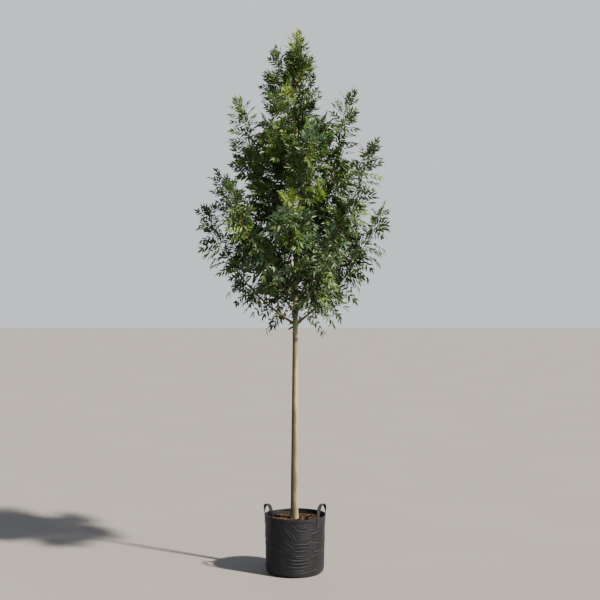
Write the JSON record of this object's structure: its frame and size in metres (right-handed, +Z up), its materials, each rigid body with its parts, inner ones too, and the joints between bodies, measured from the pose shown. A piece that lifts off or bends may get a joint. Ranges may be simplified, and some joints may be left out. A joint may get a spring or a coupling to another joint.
{
  "type": "standard ash tree in a fabric grow bag",
  "caption": "Young narrow-leaved ash grown as a clear-stemmed standard with an open conical crown, potted in a black fabric grow bag with webbing handles.",
  "frame": {"origin": "middle of the grow bag's flat underside, on the surface that it stands on", "axes": "+Z up along the stem; -Y towards the front, between the two handles; +X to the right as seen from the front"},
  "size_m": [1.2983, 1.2106, 3.5014],
  "materials": {
    "bark": "matte",
    "leaf": "satin",
    "bag_cloth": "matte",
    "webbing": "matte",
    "compost": "matte"
  },
  "bodies": {
    "root": {"bough_01a": "bark", "bough_01b": "bark", "bough_02a": "bark", "bough_02b": "bark", "bough_03a": "bark", "bough_03b": "bark", "bough_04a": "bark", "bough_04b": "bark", "bough_06a": "bark", "bough_06b": "bark", "bough_07a": "bark", "bough_07b": "bark", "bough_09a": "bark", "bough_09b": "bark", "bough_10a": "bark", "bough_10b": "bark", "compost": "compost", "foliage_01a": "leaf", "foliage_01b": "leaf", "foliage_02a": "leaf", "foliage_02b": "leaf", "foliage_03a": "leaf", "foliage_03b": "leaf", "foliage_04a": "leaf", "foliage_04b": "leaf", "foliage_05a": "leaf", "foliage_05b": "leaf", "foliage_06a": "leaf", "foliage_06b": "leaf", "foliage_07a": "leaf", "foliage_07b": "leaf", "foliage_08a": "leaf", "foliage_08b": "leaf", "foliage_09a": "leaf", "foliage_09b": "leaf", "foliage_10a": "leaf", "foliage_10b": "leaf", "foliage_11a": "leaf", "foliage_11b": "leaf", "foliage_12a": "leaf", "foliage_12b": "leaf", "foliage_13a": "leaf", "foliage_13b": "leaf", "foliage_14a": "leaf", "foliage_14b": "leaf", "foliage_leader": "leaf", "grow_bag": "bag_cloth", "handle_left": "webbing", "handle_right": "webbing", "trunk": "bark"}
  },
  "joints": []
}
